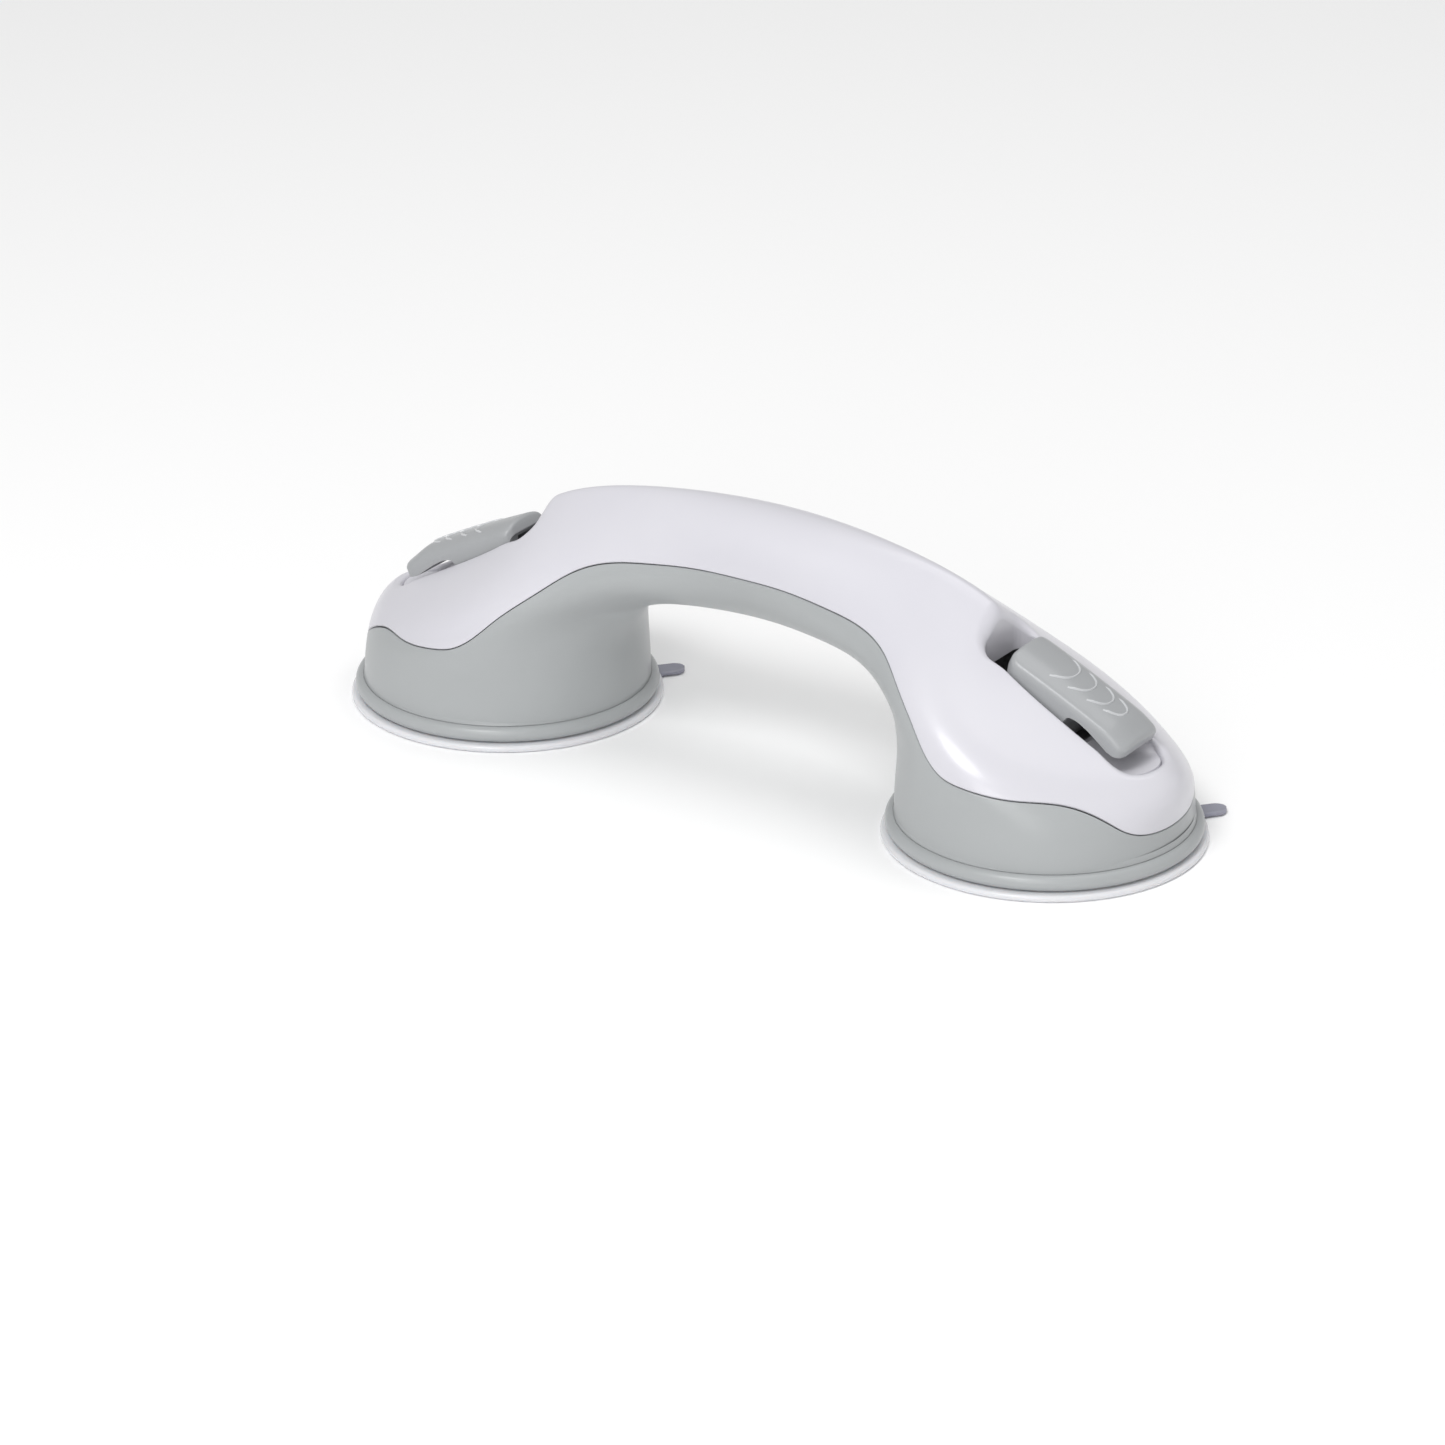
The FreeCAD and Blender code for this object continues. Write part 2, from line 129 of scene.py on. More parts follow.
def handle_stations():
    """Foot to mid-span: top point, underside point, half width, narrowing to the top, pinch."""
    return [
        (FOOT_X + FOOT_R, BASE_Z, FOOT_X - FOOT_R, BASE_Z, FOOT_R, 0.0, 0.0),
        (FOOT_X + 45.2, 16.0, FOOT_X - 45.8, 16.0, 45.5, 0.0, 0.0),
        (FOOT_X + 44.6, 28.0, GAP_HALF, 28.0, 44.8, 0.16, 0.25),
        (FOOT_X + 25.0, 41.0, GAP_HALF - 4.6, UNDER_Z - 12.0, 41.9, 0.09, 0.5),
        (FOOT_X - 1.0, 56.2, 0.82 * GAP_HALF, UNDER_Z - 6.7, 34.8, 0.0, 0.52),
        (FOOT_X - 20.0, TOP_Z - 13.2, 0.61 * GAP_HALF, UNDER_Z - 2.8, GRIP_HALF + 7.7, 0.18, 0.5),
        (0.85 * GAP_HALF, TOP_Z - 3.1, 0.32 * GAP_HALF, UNDER_Z - 0.3, GRIP_HALF + 1.9, 0.25, 0.22),
        (0.0, TOP_Z, 0.0, UNDER_Z, GRIP_HALF, 0.0, 0.0),
    ]


half_stations = handle_stations()
all_stations = half_stations + [(-s[0], s[1], -s[2]) + s[3:] for s in reversed(half_stations[:-1])]
station_at = natural_spline(range(len(all_stations)), all_stations)
LAST = len(all_stations) - 1


def surface(uv):
    """Points of the handle's outer surface: u along the bar, v round each section."""
    s = station_at(uv[:, 0])
    c, sn = np.cos(uv[:, 1]), np.sin(uv[:, 1])
    x = (s[:, 0] + s[:, 2]) / 2 + (s[:, 0] - s[:, 2]) / 2 * c
    z = (s[:, 1] + s[:, 3]) / 2 + (s[:, 1] - s[:, 3]) / 2 * c
    y = s[:, 4] * sn * (1 - s[:, 5] * c - s[:, 6] * c * c)
    return np.stack([x, y, z], 1)


def surface_normals(uv):
    """Outward normals of that surface."""
    step = 2e-3
    du = np.array([step, 0.0])
    dv = np.array([0.0, step])
    low, high = uv - du, uv + du
    low[:, 0] = np.maximum(low[:, 0], 0)
    high[:, 0] = np.minimum(high[:, 0], LAST)
    along = surface(high) - surface(low)
    around = surface(uv + dv) - surface(uv - dv)
    normal = np.cross(around, along)
    return normal / np.linalg.norm(normal, axis=1, keepdims=True)


def parting_points():
    """Joint line between cover and lower body, end to end, as X and Z."""
    half = [
        (FOOT_X + FOOT_R + 6.0, 14.0), (FOOT_X + 44.0, 15.0), (FOOT_X + 38.0, 20.3),
        (FOOT_X + 31.0, 25.0), (FOOT_X + 23.7, 27.5), (FOOT_X + 12.0, 28.7), (FOOT_X - 3.0, 30.8),
        (FOOT_X - 10.5, 32.6), (FOOT_X - 16.0, 36.0), (FOOT_X - 24.0, 43.8), (FOOT_X - 34.0, 52.2),
        (1.04 * GAP_HALF, TOP_Z - 25.4), (0.90 * GAP_HALF, TOP_Z - 22.2),
        (0.61 * GAP_HALF, TOP_Z - 19.5), (0.30 * GAP_HALF, TOP_Z - 18.0), (0.0, TOP_Z - 17.8),
    ]
    return np.array([(-x, z) for x, z in half] + [(x, z) for x, z in reversed(half[:-1])])


line_points = parting_points()
line_length = np.r_[0, np.cumsum(np.hypot(*np.diff(line_points, axis=0).T))]
line_dense = natural_spline(line_length, line_points)(np.linspace(0, line_length[-1], 3000))


def above_joint(points):
    """Height above the joint line between cover and lower body."""
    return points[:, 2] - np.interp(points[:, 0], line_dense[:, 0], line_dense[:, 1])


# ---------------------------------------------------------------- lever opening, seen from above

def slot_distance(x, y):
    """Distance outside the opening's outline, negative inside, and its direction in plan."""
    x = np.abs(x)
    corner = np.where(x < FOOT_X, 4.5, SLOT_HALF - 0.1)
    middle, half = (SLOT_IN + SLOT_OUT) / 2, (SLOT_OUT - SLOT_IN) / 2
    px = np.abs(x - middle) - (half - corner)
    py = np.abs(y) - (SLOT_HALF - corner)
    ox, oy = np.maximum(px, 0), np.maximum(py, 0)
    outside = np.hypot(ox, oy)
    distance = outside + np.minimum(np.maximum(px, py), 0) - corner
    flat = np.maximum(outside, 1e-9)
    gx = np.where(outside > 1e-9, ox / flat, (px > py) * 1.0) * np.sign(x - middle)
    gy = np.where(outside > 1e-9, oy / flat, (px <= py) * 1.0) * np.sign(y)
    return distance, gx, gy


def rim_radius(x):
    """Rounding of the opening's rim: fine beside the lever, soft at both ends."""
    x = np.abs(x)
    inner = 1 - smooth(FOOT_X - 16.0, FOOT_X - 7.0, x)
    outer = smooth(FOOT_X + 24.0, FOOT_X + 36.0, x)
    return 0.9 + 2.6 * inner + 3.2 * outer


def rim_share(points):
    """0 at the opening's edge, 1 where its rounded rim meets the cover's surface."""
    distance, _, _ = slot_distance(points[:, 0], points[:, 1])
    share = distance / rim_radius(points[:, 0])
    return np.where(points[:, 2] > 24.0, share, 9.0)


def round_drop(share):
    """Depth of a quarter round, as a share of its radius."""
    t = 1 - np.clip(share, 0, 1)
    return 1 - np.sqrt(np.maximum(1 - t * t, 0))


# ---------------------------------------------------------------- mesh splitting

def split_along(uv, faces, level):
    """Cuts faces along the line where level is zero, adding points on their edges."""
    values = level(surface(uv))
    values[np.abs(values) < 1e-4] = 0.0
    values = values.tolist()
    count = len(uv)
    made, result = {}, []
    for face in faces:
        signs = [values[i] for i in face]
        if min(signs) >= 0 or max(signs) <= 0:
            result.append(face)
            continue
        above, below = [], []
        for k, i in enumerate(face):
            j = face[(k + 1) % len(face)]
            if values[i] >= 0:
                above.append(i)
            if values[i] <= 0:
                below.append(i)
            if values[i] * values[j] < 0:
                key = (min(i, j), max(i, j))
                if key not in made:
                    made[key] = count + len(made)
                above.append(made[key])
                below.append(made[key])
        result += [f for f in (above, below) if len(f) > 2]
    if not made:
        return uv, result
    first, second = np.array(list(made)).T
    values = np.array(values)
    change = values[second] - values[first]
    t = -values[first] / change
    for _ in range(4):
        new = uv[first] + (uv[second] - uv[first]) * t[:, None]
        t = np.clip(t - level(surface(new)) / change, 0, 1)
    return np.vstack([uv, uv[first] + (uv[second] - uv[first]) * t[:, None]]), result


def keep_where(uv, faces, level):
    """Keeps the faces whose middle has a positive level, and only the points they use."""
    points = surface(uv)
    middles = np.array([points[f].mean(0) for f in faces])
    kept = [f for f, good in zip(faces, level(middles) > 0) if good]
    used = sorted({i for f in kept for i in f})
    place = {i: k for k, i in enumerate(used)}
    return uv[used], [[place[i] for i in f] for f in kept]


def border_edges(faces, on_border):
    """Edges with one face only, whose two ends are both on the named border, in face order."""
    seen = {}
    for face in faces:
        for k, i in enumerate(face):
            j = face[(k + 1) % len(face)]
            seen.setdefault((min(i, j), max(i, j)), []).append((i, j))
    return [e[0] for e in seen.values() if len(e) == 1 and on_border[e[0][0]] and on_border[e[0][1]]]


class Skin:
    """Points, faces and normals of one mesh, in millimetres."""

    def __init__(self):
        self.points, self.normals, self.faces = [], [], []

    def add(self, points, faces, normals):
        start = len(self.points)
        self.points += np.asarray(points, float).tolist()
        self.normals += np.asarray(normals, float).tolist()
        self.faces += [[start + i for i in f] for f in faces]

    def add_columns(self, columns, edges):
        """Joins the columns of neighbouring border points. columns maps a point to its points."""
        place, points = {}, []
        for i in sorted({i for e in edges for i in e}):
            place[i] = len(points)
            points += [list(p) for p in columns[i]]
        points = np.array(points)
        faces = []
        for i, j in edges:
            rows = min(len(columns[i]), len(columns[j]))
            for k in range(rows - 1):
                faces.append([place[j] + k, place[i] + k, place[i] + k + 1, place[j] + k + 1])
        self.add(points, faces, face_based_normals(points, faces))

    def build(self, name, finish):
        return make_object(name, self.points, self.faces, finish, self.normals)


def face_based_normals(points, faces):
    """Normals of points, from the faces that meet there."""
    normals = np.zeros_like(points)
    for face in faces:
        p = points[face]
        if len(face) > 3:
            n = np.cross(p[2] - p[0], p[-1] - p[1])
        else:
            n = np.cross(p[1] - p[0], p[2] - p[0])
        for i in face:
            normals[i] += n
    size = np.linalg.norm(normals, axis=1, keepdims=True)
    return normals / np.maximum(size, 1e-12)


def make_object(name, points, faces, finish, normals=None, sharp_angle=None):
    """Smooth-shaded mesh object from points in millimetres."""
    mesh = bpy.data.meshes.new(name)
    mesh.from_pydata((np.asarray(points) * MM).tolist(), [], faces)
    mesh.polygons.foreach_set("use_smooth", [True] * len(mesh.polygons))
    if sharp_angle is not None:
        mesh.set_sharp_from_angle(angle=math.radians(sharp_angle))
    mesh.update()
    if normals is not None:
        mesh.normals_split_custom_set_from_vertices(normals)
    mesh.materials.append(finish)
    obj = bpy.data.objects.new(name, mesh)
    bpy.context.scene.collection.objects.link(obj)
    return obj


def finish_from(obj, first, finish):
    """Gives a second material to the faces from one number on."""
    obj.data.materials.append(finish)
    for polygon in obj.data.polygons[first:]:
        polygon.material_index = 1
    return obj


# ---------------------------------------------------------------- materials

def linear(r, g, b):
    """Linear colour from eight-bit sRGB values, all of them above the curve's straight start."""
    return tuple(((c / 255 + 0.055) / 1.055) ** 2.4 for c in (r, g, b)) + (1.0,)


def material(name, color, tint, roughness, spread, grain, bump, metallic=0.0, coat=0.0,
             transmission=0.0, scatter=0.0, ior=1.46):
    """Moulded or drawn material: slow colour drift, fine surface grain and uneven gloss, all from noise."""
    mat = bpy.data.materials.new(name)
    mat.use_nodes = True
    nodes, links = mat.node_tree.nodes, mat.node_tree.links
    shader = nodes["Principled BSDF"]
    shader.inputs["Metallic"].default_value = metallic
    shader.inputs["Coat Weight"].default_value = coat
    shader.inputs["Coat Roughness"].default_value = 0.12
    shader.inputs["IOR"].default_value = ior
    shader.inputs["Transmission Weight"].default_value = transmission
    shader.inputs["Subsurface Weight"].default_value = scatter
    shader.inputs["Subsurface Radius"].default_value = (1.0, 0.9, 0.85)
    shader.inputs["Subsurface Scale"].default_value = 0.002
    place = nodes.new("ShaderNodeTexCoord")
    drift = nodes.new("ShaderNodeTexNoise")
    drift.inputs["Scale"].default_value = 22.0
    drift.inputs["Detail"].default_value = 3.0
    ramp = nodes.new("ShaderNodeValToRGB")
    ramp.color_ramp.elements[0].position = 0.3
    ramp.color_ramp.elements[1].position = 0.7
    ramp.color_ramp.elements[0].color = color
    ramp.color_ramp.elements[1].color = tint
    fine = nodes.new("ShaderNodeTexNoise")
    fine.inputs["Scale"].default_value = grain
    fine.inputs["Detail"].default_value = 4.0
    gloss = nodes.new("ShaderNodeMapRange")
    gloss.inputs["To Min"].default_value = roughness - spread
    gloss.inputs["To Max"].default_value = roughness + spread
    relief = nodes.new("ShaderNodeBump")
    relief.inputs["Strength"].default_value = 1.0
    relief.inputs["Distance"].default_value = bump * MM
    links.new(place.outputs["Object"], drift.inputs["Vector"])
    links.new(place.outputs["Object"], fine.inputs["Vector"])
    links.new(drift.outputs["Fac"], ramp.inputs["Fac"])
    links.new(ramp.outputs["Color"], shader.inputs["Base Color"])
    links.new(fine.outputs["Fac"], gloss.inputs["Value"])
    links.new(gloss.outputs["Result"], shader.inputs["Roughness"])
    links.new(fine.outputs["Fac"], relief.inputs["Height"])
    links.new(relief.outputs["Normal"], shader.inputs["Normal"])
    return mat


white_plastic = material("cover_white_plastic", linear(207, 206, 213), linear(211, 210, 216),
                         0.30, 0.04, 1500.0, 0.010, coat=0.25)
grey_plastic = material("body_grey_plastic", linear(166, 169, 170), linear(169, 172, 173),
                        0.36, 0.05, 1500.0, 0.012, coat=0.10)
lever_plastic = material("lever_grey_plastic", linear(160, 162, 164), linear(164, 166, 168),
                         0.33, 0.05, 1800.0, 0.012, coat=0.10)
soft_pvc = material("cup_soft_pvc", linear(243, 243, 249), linear(246, 246, 251),
                    0.22, 0.05, 900.0, 0.012, transmission=0.2, scatter=0.5, ior=1.42)
# The pull tab is the same soft PVC as the cup; its darker copy is painted shade, standing for the shadow
# seen through the thin translucent tab.
tab_finish_painted_shade = material("cup_tab_painted_shade", linear(158, 159, 172), linear(164, 165, 178),
                   0.24, 0.05, 900.0, 0.012, transmission=0.2, scatter=0.5, ior=1.42)
# Lighter, glossier copy of the lever's grey plastic for the raised ribs: painted highlight, standing for
# the bright light along their edges.
rib_finish_painted_highlight = material("lever_rib_painted_highlight", linear(196, 198, 200), linear(202, 204, 206),
                       0.22, 0.04, 1800.0, 0.006, coat=0.20)
stem_plastic = material("stem_moulded_plastic", linear(205, 205, 202), linear(213, 213, 210),
                        0.45, 0.06, 1400.0, 0.02)
pin_steel = material("pin_drawn_steel", linear(176, 177, 180), linear(190, 191, 194),
                     0.28, 0.06, 2600.0, 0.006, metallic=1.0)
washer_steel = material("washer_rolled_steel", linear(170, 171, 173), linear(184, 185, 187),
                        0.34, 0.08, 2200.0, 0.008, metallic=1.0)
spring_steel = material("spring_wire_steel", linear(158, 159, 162), linear(176, 177, 180),
                        0.30, 0.07, 2600.0, 0.006, metallic=1.0)
screw_steel = material("screw_plated_steel", linear(182, 182, 184), linear(196, 196, 198),
                       0.26, 0.06, 2400.0, 0.006, metallic=1.0)


# ---------------------------------------------------------------- cover and lower body

def spread(counts):
    """Parameter values, one unit per count, each unit cut into that many steps."""
    values = [0.0]
    for unit, count in enumerate(counts):
        values += [unit + (k + 1) / count for k in range(count)]
    return values


def handle_grid():
    """Grid over the whole handle surface, finest along the crest where the openings are."""
    counts = [9, 14, 34, 34, 32, 20, 18]
    rows = spread(counts + counts[::-1])
    fine = np.linspace(0, 0.95, 28)
    coarse = np.linspace(0.95, math.pi, 45)[1:]
    half = np.r_[fine, coarse]
    columns = np.r_[-half[:0:-1], half]
    uv = np.array([(u, v) for u in rows for v in columns])
    width = len(columns)
    faces = []
    for i in range(len(rows) - 1):
        for j in range(width - 1):
            a = i * width + j
            faces.append([a, a + 1, a + width + 1, a + width])
    return uv, faces


def level(function, value):
    """The same measure, taken from another starting value."""
    return lambda points: function(points) - value


def joint_round(height):
    """Share of the way into the softened edge beside the joint: 1 at the joint, 0 clear of it."""
    return 1 - np.clip((np.abs(height) - HALF_JOINT) / EDGE, 0, 1)


def joint_lip(skin, points, normals, faces, on_joint):
    """The ledge that turns in from an edge of the joint."""
    edges = border_edges(faces, on_joint)
    columns = {}
    for i in {i for e in edges for i in e}:
        inward = normals[i] * np.array([1, 1, 0.2])
        inward /= np.linalg.norm(inward)
        columns[i] = [points[i] - inward * d for d in (0.0, 0.5, 1.6)]
    skin.add_columns(columns, edges)


scoop_middle = natural_spline(FOOT_X + np.array([12.0, 18.8, 24.8, 31.8, 38.0]),
                              PIN_Z - np.array([8.0, 10.8, 12.8, 13.2, 12.8]))


def scoop_floor(x, y, rim):
    """Floor of the finger scoop beyond the lever's tip, eased up to the height of its rim."""
    middle = float(scoop_middle(x))
    radius = 2.0 + 6.5 * float(smooth(FOOT_X + 20.0, FOOT_X + 33.0, x))
    rise = max(min(radius, rim - middle), 0.0)
    return middle + rise * float(round_drop(-slot_distance(x, y)[0] / radius))


def opening_column(point):
    """Wall below one point of the opening's edge, and the scoop floor beyond it."""
    side = math.copysign(1.0, point[0])
    x, y, z = abs(point[0]), point[1], point[2]
    centre = min(max(x, SLOT_IN + SLOT_HALF), SLOT_OUT - SLOT_HALF)
    column = [point]
    if x < WEB_X:
        bottom = float(np.interp(x, [FOOT_X - 10.0, FOOT_X + 11.0, WEB_X],
                                 [PIN_Z + 10.0, PIN_Z - 9.0, PIN_Z - 11.0]))
        bottom = min(bottom, z - 1.0)
        for k in range(1, 7):
            column.append([point[0], y, z + (bottom - z) * k / 6])
        return column
    top = min(scoop_floor(x, y, z), z - 0.02)
    for k in range(1, 7):
        column.append([point[0], y, z + (top - z) * k / 6])
    for share in (0.99, 0.96, 0.92, 0.86, 0.79, 0.71, 0.62, 0.52, 0.42, 0.31, 0.2, 0.1, 0.0):
        fx, fy = centre + (x - centre) * share, y * share
        column.append([side * fx, fy, scoop_floor(fx, fy, z)])
    return column


def build_cover(uv, faces):
    """White cover: the surface above the joint, with its two lever openings."""
    for share in EDGE_CUTS:
        uv, faces = split_along(uv, faces, level(above_joint, HALF_JOINT + share * EDGE))
    uv, faces = keep_where(uv, faces, level(above_joint, HALF_JOINT))
    for value in RIM_CUTS:
        uv, faces = split_along(uv, faces, level(rim_share, value))
    uv, faces = keep_where(uv, faces, rim_share)
    base = surface(uv)
    normals = surface_normals(uv)
    height = above_joint(base)
    turned = joint_round(height)
    share = rim_share(base)
    _, gx, gy = slot_distance(base[:, 0], base[:, 1])
    points = base - normals * (EDGE * round_drop(1 - turned))[:, None]
    near = share < 1
    points[near, 2] -= (rim_radius(base[near, 0]) * round_drop(share[near]))
    t = 1 - np.clip(share, 0.002, 1)
    steep = np.where(near, t / np.sqrt(1 - t * t), 0.0)
    up = np.maximum(normals[:, 2], 0.05)
    sign = np.sign(base[:, 0])
    slope = np.stack([normals[:, 0] / up - steep * gx * sign, normals[:, 1] / up - steep * gy,
                      np.ones(len(up))], 1)
    slope /= np.linalg.norm(slope, axis=1, keepdims=True)
    bent = normals * np.sqrt(1 - turned ** 2)[:, None]
    bent[:, 2] -= turned
    shown = np.where(near[:, None], slope, bent)
    skin = Skin()
    skin.add(points, faces, shown)
    joint_lip(skin, points, normals, faces, np.abs(height - HALF_JOINT) < ON_BORDER)
    edges = border_edges(faces, np.abs(share) < ON_BORDER)
    columns = {i: opening_column(points[i]) for i in {i for e in edges for i in e}}
    skin.add_columns(columns, edges)
    for side in (1, -1):
        add_web(skin, side)
    return skin.build("top_cover_shell", white_plastic)


def add_web(skin, side):
    """Bar across the opening between the lever's well and the finger scoop."""
    low_z, high_z = PIN_Z - 12.0, float(scoop_middle(WEB_X + 0.6)) - 0.1
    outline = [(WEB_X - 2.0, low_z), (WEB_X - 2.0, high_z - 0.6), (WEB_X - 1.4, high_z),
               (WEB_X + 0.8, high_z)]
    near, far = [np.array([(side * x, y, z) for x, z in outline]) for y in (-SLOT_HALF, SLOT_HALF)]
    for k in range(len(outline) - 1):
        corner = np.array([near[k], near[k + 1], far[k + 1], far[k]])[::side]
        n = np.cross(corner[1] - corner[0], corner[3] - corner[0])
        skin.add(corner, [[0, 1, 2, 3]], [n / np.linalg.norm(n)] * 4)


def screw_distance(points):
    """Distance outside the nearest screw hole in the grip's underside."""
    x = np.abs(points[:, 0])
    away = np.min([np.hypot(x - c, points[:, 1]) for c in SCREWS], axis=0)
    return np.where(points[:, 2] < SEAT_Z, away - SCREW_HOLE_R, 9.0)


def below_joint(points):
    return -above_joint(points)


def build_lower(uv, faces):
    """Grey lower body: the surface below the joint, with screw holes and both flanges."""
    for share in EDGE_CUTS:
        uv, faces = split_along(uv, faces, level(below_joint, HALF_JOINT + share * EDGE))
    uv, faces = keep_where(uv, faces, level(below_joint, HALF_JOINT))
    for share in (1.0, 0.5, 0.16, 0.0):
        uv, faces = split_along(uv, faces, level(screw_distance, share * SCREW_RIM))
    uv, faces = keep_where(uv, faces, screw_distance)
    base = surface(uv)
    normals = surface_normals(uv)
    height = above_joint(base)
    turned = joint_round(height)
    points = base - normals * (EDGE * round_drop(1 - turned))[:, None]
    hole = screw_distance(base)
    rim = np.clip(1 - hole / SCREW_RIM, 0, 1)
    points[:, 2] += SCREW_RIM * round_drop(1 - rim)
    shown = normals * np.sqrt(1 - turned ** 2)[:, None]
    shown[:, 2] += turned
    skin = Skin()
    skin.add(points, faces, shown)
    joint_lip(skin, points, normals, faces, np.abs(height + HALF_JOINT) < ON_BORDER)
    edges = border_edges(faces, np.abs(hole) < ON_BORDER)
    columns = {}
    for i in {i for e in edges for i in e}:
        x, y, z = points[i]
        centre = math.copysign(min(SCREWS, key=lambda c: abs(abs(x) - c)), x)
        seat = [[centre + (x - centre) * f, y * f, SEAT_Z] for f in (1.0, 0.6, 0.3)]
        columns[i] = [points[i], [x, y, z + (SEAT_Z - z) * 0.5]] + seat
    skin.add_columns(columns, edges)
    for side in (1, -1):
        add_flange(skin, side)
    return skin.build("lower_body_shell", grey_plastic)


def lathe(profile, centre, segments):
    """Surface of revolution about an upright axis, with its normals."""
    profile = np.array(profile, float)
    tangent = np.gradient(profile, axis=0)
    tangent /= np.maximum(np.linalg.norm(tangent, axis=1, keepdims=True), 1e-9)
    points, normals, faces = [], [], []
    for k in range(segments):
        angle = 2 * math.pi * k / segments
        c, s = math.cos(angle), math.sin(angle)
        for (r, z), (tr, tz) in zip(profile, tangent):
            points.append((centre + r * c, r * s, z))
            normals.append((tz * c, tz * s, -tr))
    count = len(profile)
    for k in range(segments):
        n = (k + 1) % segments
        for i in range(count - 1):
            faces.append([k * count + i, n * count + i, n * count + i + 1, k * count + i + 1])
    return points, faces, normals


def arc(centre, radius, start, end, steps):
    """Points on an arc of a profile, between two angles in degrees."""
    angles = np.radians(np.linspace(start, end, steps))
    return [(centre[0] + radius * math.cos(a), centre[1] + radius * math.sin(a)) for a in angles]


def add_flange(skin, side):
    """Rolled bead round the foot of the lower body."""
    bead_radius = 2.5
    bead = FLANGE_R - bead_radius
    middle = BASE_Z + bead_radius
    profile = [(FOOT_R - 3.0, BASE_Z), (FOOT_R - 1.0, BASE_Z)]
    profile += arc((bead, middle), bead_radius, -90, 100, 22)
    profile += [(FOOT_R + 0.25, middle + 2.55), (FOOT_R - 0.02, middle + 2.75),
                (FOOT_R - 0.12, middle + 3.3), (FOOT_R - 0.5, middle + 4.4)]
    skin.add(*lathe(profile, side * FOOT_X, 192))


# ---------------------------------------------------------------- lever

SLOPE = math.radians(25.8)
OVER_PIN = 10.5
LEVER_IN, LEVER_OUT = -14.2, 32.1
LEVER_ARCH = 3.0
LEVER_ROUND = 1.3            # rounding of the top edge
INNER_CORNER, TIP_CORNER = 4.2, 3.2      # corners in plan
LEVER_HALF, TIP_HALF = 11.0, 10.8
ARCH_POWER = 2.7             # above 2, so the top is flatter in the middle and fuller at its shoulders
CHEEK_IN = 5.0


def on_lever(along, across, down, side):
    """Point from distances along the lever's top line, across it and square below it."""
    x = FOOT_X + OVER_PIN * math.sin(SLOPE) + along * math.cos(SLOPE) - down * math.sin(SLOPE)
    z = PIN_Z + OVER_PIN * math.cos(SLOPE) - along * math.sin(SLOPE) - down * math.cos(SLOPE)
    return (side * x, across, z)


def lever_half(along):
    return LEVER_HALF + (TIP_HALF - LEVER_HALF) * (along - LEVER_IN) / (LEVER_OUT - LEVER_IN)


def lever_outline_half(along):
    """Half width in plan, with the corners' rounding."""
    half = lever_half(along)
    for gap, radius in ((along - LEVER_IN, INNER_CORNER), (LEVER_OUT - along, TIP_CORNER)):
        if gap < radius:
            half = min(half, half - radius + math.sqrt(max(radius ** 2 - (radius - gap) ** 2, 0)))
    return half


def lever_inside(along, across):
    """Distance in from the plan outline."""
    half = lever_half(along)
    radius = INNER_CORNER if along < 9 else TIP_CORNER
    px = max(LEVER_IN - along, along - LEVER_OUT) + radius
    py = abs(across) - half + radius
    return radius - math.hypot(max(px, 0), max(py, 0)) - min(max(px, py), 0)


def lever_rise(along, across):
    """Height of the arched top over its edge line, before the edges are rounded."""
    tip = float(smooth(LEVER_OUT - 9.0, LEVER_OUT + 1.5, along))
    arch = LEVER_ARCH * (1 - 0.45 * tip)
    crown = 0.5 * (1 - ((along - 9.0) / 23.2) ** 2)
    return arch * (1 - (abs(across) / lever_half(along)) ** ARCH_POWER) - 0.9 * tip + crown - 0.1


def lever_top(along, across):
    inside = lever_inside(along, across)
    return lever_rise(along, across) - LEVER_ROUND * float(round_drop(inside / LEVER_ROUND))


# Underside of the lever, as distance along it and depth: heel and cam, then plate and finger tip.
CAM_POINTS = [(-14.2, 1.3), (-13.4, 2.2), (-11.7, 5.1), (-7.5, 11.6), (-3.45, 17.2), (-1.4, 18.4),
              (0.8, 19.1), (3.0, 19.5), (5.6, 19.7), (8.4, 19.5), (10.4, 18.4), (10.5, 18.0)]
PLATE_POINTS = [(10.6, 10.0), (10.7, 5.2), (11.0, 3.6), (11.7, 2.9), (13.5, 2.4), (15.5, 2.3),
                (19.0, 2.7), (23.6, 3.7), (27.0, 4.6), (29.5, 4.5), (31.3, 4.0), (32.1, 3.3)]
BOTTOM = np.array(CAM_POINTS + PLATE_POINTS)


def lever_bottom(along):
    return float(np.interp(along, BOTTOM[:, 0], BOTTOM[:, 1]))


def lever_section(along, side):
    """Closed loop of points round the lever at one distance along it."""
    half = lever_outline_half(along)
    bottom = lever_bottom(along)
    roof = min(bottom, 2.2) if along < 9.6 else bottom
    edge = [0, 0.05, 0.16, 0.34, 0.58, 0.85, 1.15]
    inner = np.linspace(0, max(half - 1.15, 0.4), 11)
    across = list(inner) + [half - e for e in edge[-2::-1]]
    across = sorted(set(round(max(a, 0), 5) for a in across))
    right = [(a, -lever_top(along, a)) for a in across]
    top_edge = right[-1][1]
    wall = [(half, top_edge + (bottom - top_edge) * s) for s in (0.06, 0.3, 0.55, 0.8, 1.0)]
    cheek = min(CHEEK_IN, half)
    under = [(cheek, bottom), (cheek, roof), (cheek * 0.5, roof)]
    loop = right + wall + under
    return [on_lever(along, a, d, side) for a, d in loop], [on_lever(along, -a, d, side) for a, d in loop]


